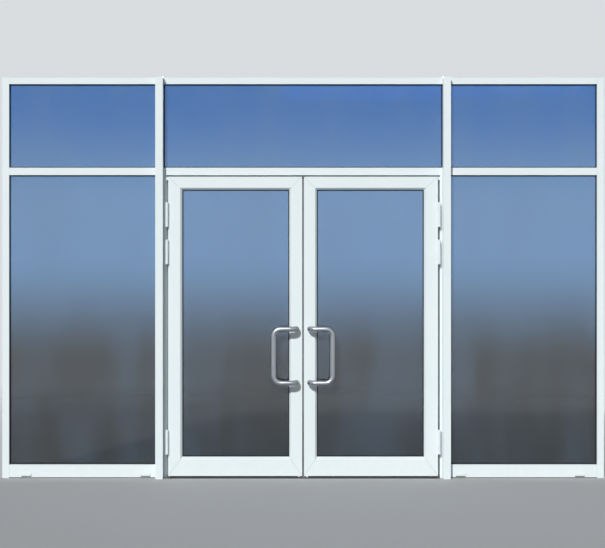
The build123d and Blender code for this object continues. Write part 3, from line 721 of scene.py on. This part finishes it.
def bristle_sheet(offset, seed):
    """One pleated sheet; the row runs from 0 at the hairs' foot to 1 at the holder.

    At point i, four to a pleat, y = groove + offset * (1 - 0.45 * row)
    + pleat * sin(i * 90 degrees + seed) * (1.3 - row). The foot is uneven by
    0.4 mm * (1 + sin(1.7 * i + seed) * cos(0.61 * i)), and z runs from there to the top.
    """
    x = np.linspace(*brush_ends, pleats * 4)
    i = np.arange(x.size)
    row = np.linspace(0.0, 1.0, 4)[:, None]
    uneven = ragged_by * (1 + np.sin(i * 1.7 + seed) * np.cos(i * 0.61))
    y = groove_y + offset * (1 - 0.45 * row) + pleat_depth * np.sin(i * np.pi / 2 + seed) * (1.3 - row)
    z = hair_foot + uneven * (1 - row) + (hair_top - hair_foot) * row
    return np.stack(np.broadcast_arrays(x, y, z), axis=-1)


def holder_grid():
    """A flat clamp under the rail, carried along the strip: a rectangle with rounded corners.

    With s = sign(cos t) * |cos t| ^ 0.4, y = groove + half width * s, and z the same with sin t.
    """
    t = np.radians(np.linspace(0, 360, 17)[:-1])
    half_y, half_z = 0.004, 0.0016
    y = groove_y + half_y * np.sign(np.cos(t)) * np.abs(np.cos(t)) ** 0.4
    z = float(bottom_low[2]) - half_z + half_z * np.sign(np.sin(t)) * np.abs(np.sin(t)) ** 0.4
    return np.stack(np.broadcast_arrays(np.array(brush_ends)[:, None], y, z), axis=-1)


bristles = Finish("black_bristles", Roughness=0.65, Specular_IOR_Level=0.15)
hairs = bristles.noise(1.0, 3.0, bristles.stretched(2600, 900, 60))
hair_colour = bristles.blend(hairs.step(0.35, 0.7), (0.012, 0.012, 0.013, 1), (0.055, 0.055, 0.058, 1))
bristles.put(Base_Color=hair_colour)
bristles.bump(hairs, 0.0002)
right_grids = [(holder_grid(), False, True, True)]
for seed, offset in enumerate(sheet_offsets):
    right_grids.append((bristle_sheet(offset, seed), False, False, False))
left_grids = [(mirrored(grid), *closing) for grid, *closing in right_grids]
for side, grids in (("right", right_grids), ("left", left_grids)):
    replaced = (f"{side}_leaf_bottom_brush",)
    make_piece(f"{side}_brush", grids, bristles, f"{side}_leaf", replaced)

# %% [markdown]
# The pull handles are satin stainless tube, bent four times: out from the stile, across to the grip, and
# back. A curve with a round bevel would look alike, but the brushing has to know how far along the tube
# each face lies. So a circle is carried along runs and bends. In a bend about the axis k = a x b, the
# point is corner + r * ((sin w - 1) * a + (1 - cos w) * b), and the circle's spokes turn about k by w.

# %% Bent tubes
foot_bend, grip_bend = 0.042, 0.05
tube_radius = 0.019


def bend_stations(corner, a, b, radius, spoke, steps=14):
    """Points, directions and turned spokes of one bend, from direction a to direction b."""
    w = np.linspace(0, np.pi / 2, steps)[:, None]
    centres = corner + radius * ((np.sin(w) - 1) * a + (1 - np.cos(w)) * b)
    ways = a * np.cos(w) + b * np.sin(w)
    k = np.cross(a, b)
    turned = (spoke @ k) * k + (spoke @ b) * np.cross(k, ways) + (spoke @ a) * ways
    return centres, ways, turned


def tube_grid(corners, radii, around=36):
    """A circle at every station of a path: centre + radius * (spoke * cos t + other spoke * sin t)."""
    corners = np.array(corners)
    runs = np.diff(corners, axis=0)
    runs = runs / np.linalg.norm(runs, axis=1)[:, None]
    spoke = np.array((0.0, 0.0, 1.0))
    centres, ways, spokes = [corners[:1]], [runs[:1]], [spoke[None, :]]
    for corner, a, b, radius in zip(corners[1:-1], runs[:-1], runs[1:], radii):
        points, directions, turned = bend_stations(corner, a, b, radius, spoke)
        centres.append(points)
        ways.append(directions)
        spokes.append(turned)
        spoke = turned[-1]
    centres = np.concatenate(centres + [corners[-1:]])[:, None, :]
    ways = np.concatenate(ways + [runs[-1:]])
    spokes = np.concatenate(spokes + [spoke[None, :]])
    others = np.cross(ways, spokes)
    t = np.linspace(0, 2 * np.pi, around, endpoint=False)[None, :, None]
    return centres + tube_radius * (spokes[:, None, :] * np.cos(t) + others[:, None, :] * np.sin(t))


print("bends of a handle:", foot_bend, grip_bend, "tube radius:", tube_radius)

# %% [markdown]
# The steel is brushed along the tube. The grain has to follow the bends, so it can't come from X, Y and Z:
# each point gets a UV, with U round the tube and V the length along it, in metres, and the noise is
# stretched along V. The edges are painted a little darker: a painted shade, where a round tube turns away
# from the light.

# %% Handle steel
handle_steel = Finish("handle_steel", Metallic=1.0)
uv = handle_steel.node("ShaderNodeUVMap", {"uv_map": "along"})["UV"]
grain = handle_steel.noise(1.0, 4.0, handle_steel.stretched(2600, 40, 0, uv))
handprint = handle_steel.noise(30.0).step(0.45, 0.75)
rim = handle_steel.node("ShaderNodeLayerWeight", inputs={"Blend": 0.5})["Facing"]
satin = handle_steel.blend(grain.step(0.3, 0.7), (0.375, 0.395, 0.43, 1), (0.495, 0.52, 0.56, 1))
# painted shade: the colour darkens towards the tube's edges, by the angle of view
handle_steel.put(
    Base_Color=handle_steel.blend(rim.step(0.4, 0.9) * 0.85, satin, (0.10, 0.105, 0.12, 1)),
    Roughness=0.23 + grain * 0.12 + handprint * 0.08,
)
handle_steel.bump(grain, 0.00003)


def add_tube_uv(piece, rows, around):
    """U runs round the tube and V along it, both in metres, from the grid's row and column."""
    co = np.empty(len(piece.data.vertices) * 3)
    piece.data.vertices.foreach_get("co", co)
    centres = co.reshape(rows, around, 3).mean(axis=1)
    length = np.concatenate(((0.0,), np.cumsum(np.linalg.norm(np.diff(centres, axis=0), axis=1))))
    loops = np.empty(len(piece.data.loops), dtype=np.int64)
    piece.data.loops.foreach_get("vertex_index", loops)
    row, column = loops // around, loops % around
    u = column * 2 * np.pi * tube_radius / around
    layer = piece.data.uv_layers.new(name="along")
    layer.data.foreach_set("uv", np.stack((u, length[row]), axis=-1).ravel())


print("handle steel nodes:", len(handle_steel.tree.nodes))

# %% [markdown]
# Each leaf has a handle outside and one inside, back to back. They could be placed by hand, but the loaded
# handles already say where: the box of each gives the foot, the grip and the heights, and the new tube
# takes the old one's place.

# %% Pull handles
for side, sign in (("right", 1), ("left", -1)):
    for place, face in (("outer", -1), ("inner", 1)):
        node = f"{side}_leaf_{place}_handle"
        low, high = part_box(node)
        foot_x = sign * (min(abs(low[0]), abs(high[0])) + tube_radius)
        grip_x = sign * (max(abs(low[0]), abs(high[0])) - tube_radius)
        near = face * min(abs(low[1]), abs(high[1]))
        far = face * (max(abs(low[1]), abs(high[1])) - tube_radius)
        under, over = low[2] + tube_radius, high[2] - tube_radius
        corners = [(foot_x, near, under), (foot_x, far, under), (grip_x, far, under)]
        corners += [(grip_x, far, over), (foot_x, far, over), (foot_x, near, over)]
        tube = tube_grid(corners, (foot_bend, grip_bend, grip_bend, foot_bend))
        grids = [(tube, False, True, True)]
        pull = make_piece(
            f"{side}_{place}_pull", grids, handle_steel, f"{side}_leaf", (node,)
        )
        add_tube_uv(pull, tube.shape[0], tube.shape[1])

# %% [markdown]
# Screws hold the hinge plates, the keeper and the threshold. A flat disc with a painted cross would do from
# afar, but a real recess catches the light. So one head is a low dome, worked out on a polar grid: r runs
# from the rim to the middle and t round it. In units of the radius its height is 0.03 + 0.16 * (1 - r^2),
# and along two crossed bars it drops to a flat floor at 0.02.

# %% Screw heads
def screw_head(centre, first, second, radius=0.0042):
    """A head spanned by two directions in the surface: their cross product points out.

    A point is centre + radius * (u * first + v * second + height * out), with u = r cos t, v = r sin t.
    """
    r = np.linspace(1.0, 0.03, 15)[:, None]
    t = np.linspace(0, 2 * np.pi, 40, endpoint=False)[None, :]
    u, v = r * np.cos(t), r * np.sin(t)
    bar = ((0.17 - np.minimum(abs(u), abs(v))) / 0.07).clip(0, 1)
    end = ((0.66 - np.maximum(abs(u), abs(v))) / 0.12).clip(0, 1)
    recess = bar * end
    height = (1 - recess) * (0.03 + 0.16 * (1 - r**2)) + recess * 0.02
    out = np.cross(first, second)
    along = u[..., None] * np.array(first) + v[..., None] * np.array(second) + height[..., None] * out
    return (np.array(centre) + radius * along, False, True, True)


flat_head = screw_head((0, 0, 0), (1, 0, 0), (0, 1, 0))[0]
print("a screw head stands out by, in metres:", flat_head[..., 2].max())

# %% [markdown]
# Each hinge plate has three screws in a row, near its inner edge. Their places could be measured by eye,
# but the plates' boxes and the leaf's edge give the faces they sit on. The heads of one body are joined in
# one piece, so that they move with it.

# %% Screws in their places
plate_thickness = 0.004
hinge_gap = 0.015
row_inset = 0.01
hinge_heights = (1.859, 1.596, 0.257)
screw_offsets = (-0.066, 0.0, 0.066)
tread_screws = (-0.86, -0.43, -0.12, 0.12, 0.43, 0.86)
keeper_offsets = (-0.009, 0.009)
small_head = 0.0036
along_x, along_y, along_z = (1, 0, 0), (0, 1, 0), (0, 0, 1)

screw_heights = [height + offset for height in hinge_heights for offset in screw_offsets]
frame_face = float(outer_right) + hinge_gap - plate_thickness
leaf_face = float(outer_right) + plate_thickness
frame_row = float(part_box("hinge_frame_plates")[1][1]) - row_inset
leaf_row = float(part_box("right_leaf_hinge_plates")[1][1]) - row_inset
keeper_low, keeper_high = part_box("floor_keeper")
keeper_middle = float(keeper_low[1] + keeper_high[1]) / 2
keeper_top = float(keeper_high[2])
tread_middle = float(threshold_low[1] + threshold_high[1]) / 2

frame_screws = []
for z in screw_heights:
    frame_screws.append(screw_head((frame_face, frame_row, z), along_z, along_y))
    frame_screws.append(screw_head((-frame_face, frame_row, z), along_y, along_z))
for offset in keeper_offsets:
    centre = (0, keeper_middle + offset, keeper_top)
    frame_screws.append(screw_head(centre, along_x, along_y, small_head))
for x in tread_screws:
    frame_screws.append(screw_head((x, tread_middle, tread_top), along_x, along_y, small_head))
make_piece("frame_screws", frame_screws, steel, "frame")
leaf_screws = {
    "right": [screw_head((leaf_face, leaf_row, z), along_y, along_z) for z in screw_heights],
    "left": [screw_head((-leaf_face, leaf_row, z), along_z, along_y) for z in screw_heights],
}
for side, heads in leaf_screws.items():
    make_piece(f"{side}_leaf_screws", heads, steel, f"{side}_leaf")

# %% [markdown]
# The sills stand on the floor in a bed of dark sealant, which shows as a thin line along their foot. A dark
# line in the coating would lie flat on the face, so it is a quarter-round bead, carried along X:
# y = front - 3 mm * cos t and z = 5 mm * sin t.

# %% Sealant under the sills
sill_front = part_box("sill_right")[0][1]
bead_reach, bead_height = 0.003, 0.005
sealant_shades = (0.045, 0.048, 0.05, 1), (0.09, 0.094, 0.096, 1)
sealant = grained("dark_sealant", sealant_shades, (90, 400, 400), 0.55, 0.0002, Specular_IOR_Level=0.2)
t = np.radians(np.linspace(90, 0, 9))
bead_y = np.append(float(sill_front) - bead_reach * np.cos(t), sill_front)
bead_z = np.append(bead_height * np.sin(t), 0.0)
bead_ends = np.array(upright_faces[1:])[:, None]
bead = np.stack(np.broadcast_arrays(bead_ends, bead_y, bead_z), axis=-1)
beads = [(bead, False, True, True), (mirrored(bead), False, True, True)]
make_piece("sill_sealant", beads, sealant, "frame")

# %% [markdown]
# The floor is not part of the object. A large plane would do, but its far edge would draw a line behind the
# glass. So it is a plain pale disc that grows clear far from the screen: the view has no horizon, and the
# object's shadow still falls on the floor. A rim point is x = radius * cos t, y = radius * sin t, half a
# millimetre below the object's foot.

# %% Floor
floor_radius, floor_points = 14.0, 96
clear_from, clear_to = 4.0, 9.5
t = np.linspace(0, 2 * np.pi, floor_points, endpoint=False)
rim_points = np.stack((floor_radius * np.cos(t), floor_radius * np.sin(t), 0 * t - 0.0005), axis=-1)
floor_mesh = bpy.data.meshes.new("floor")
floor_mesh.from_pydata(rim_points, [], [list(range(floor_points))])
floor = bpy.data.objects.new("floor", floor_mesh)
bpy.context.collection.objects.link(floor)
ground = Finish("pale_floor", Base_Color=(0.50, 0.51, 0.52, 1), Roughness=0.9, Specular_IOR_Level=0.1)
ground_x, ground_y = ground.axes()[:2]
away = (ground_x * ground_x + ground_y * ground_y).root()
ground.put(Alpha=1 - away.step(clear_from, clear_to))
floor_mesh.materials.append(ground.material)
print("floor radius, and where it is clear:", floor_radius, clear_to)

# %% [markdown]
# The world is a pale grey studio where the camera, a reflection or the glass looks at it. If that grey also
# lit the object, all shadows would drown in it. So Light Path splits the two: those rays see the pale
# grey, and every other ray gets a weak bluish light that only lifts the shadows.

# %% World
pale_grey = (0.70, 0.72, 0.74, 1)
shadow_light = (0.86, 0.92, 1.0, 1)
shadow_strength = 0.10
studio = bpy.data.worlds.new("studio")
bpy.context.scene.world = studio
world = NodeTree(studio)
ray = world.node("ShaderNodeLightPath")
seen = ray["Is Camera Ray"].either(ray["Is Glossy Ray"].either(ray["Is Transmission Ray"]))
lit = world.node("ShaderNodeBackground", inputs={"Color": shadow_light, "Strength": shadow_strength})
shown = world.node("ShaderNodeBackground", inputs={"Color": pale_grey})
mixed = world.node("ShaderNodeMixShader", inputs={0: seen, 1: lit["Background"], 2: shown["Background"]})
world.node("ShaderNodeOutputWorld", inputs={"Surface": mixed["Shader"]})
print("world nodes:", len(world.tree.nodes))

# %% [markdown]
# The light comes from high on the left. A panel near the object would spread its shadows like a fan, so the
# main lamp is a sun: its rays are parallel, and every shadow leans the same way. Its wide disc keeps their
# edges soft. A weak panel on the right fills them, hidden from reflections so that it leaves no bright
# patch on the glass, and a strong panel behind lights the inner side.

# %% Lamps
screen_middle = (0, 0, 1.2)


def hang_lamp(name, kind, place, power, colour, **sizes):
    """A lamp of a kind at a place, turned to the middle of the screen."""
    lamp = bpy.data.lights.new(name, kind)
    lamp.energy = power
    lamp.color = colour
    for key, value in sizes.items():
        setattr(lamp, key, value)
    holder = bpy.data.objects.new(name, lamp)
    bpy.context.collection.objects.link(holder)
    holder.location = place
    aim = np.array(screen_middle) - np.array(place)
    holder.rotation_euler = (np.arccos(-aim[2] / np.linalg.norm(aim)), 0, np.arctan2(-aim[0], aim[1]))
    return holder


hang_lamp("key", "SUN", (-3.2, -10.0, 7.3), 3.05, (1.0, 0.995, 0.975), angle=np.radians(4))
fill = hang_lamp("fill", "AREA", (6.0, -6.0, 3.5), 18, (0.92, 0.96, 1.0), size=4.5)
fill.visible_glossy = False
hang_lamp("rear", "AREA", (1.5, 7.5, 5.5), 500, (0.97, 0.98, 1.0), size=4.0)
print("lamps:", [(lamp.name, round(lamp.energy, 2)) for lamp in bpy.data.lights])

# %% [markdown]
# The camera is level and on the centre line, about ten metres in front, with a short telephoto lens. A wide
# lens nearer by would show the uprights' sides and make the outer lights look stretched. From here the
# screen fills the width and its lines stay straight.

# %% Camera and end
camera_data = bpy.data.cameras.new("camera")
camera_data.lens = 83.3
camera_data.sensor_width = 36.0
camera = bpy.data.objects.new("camera", camera_data)
camera.location = (-0.004, -9.9025, 1.441)
camera.rotation_euler = (np.pi / 2, 0, 0)
bpy.context.collection.objects.link(camera)
bpy.context.scene.camera = camera
bpy.context.scene.view_settings.view_transform = "Standard"
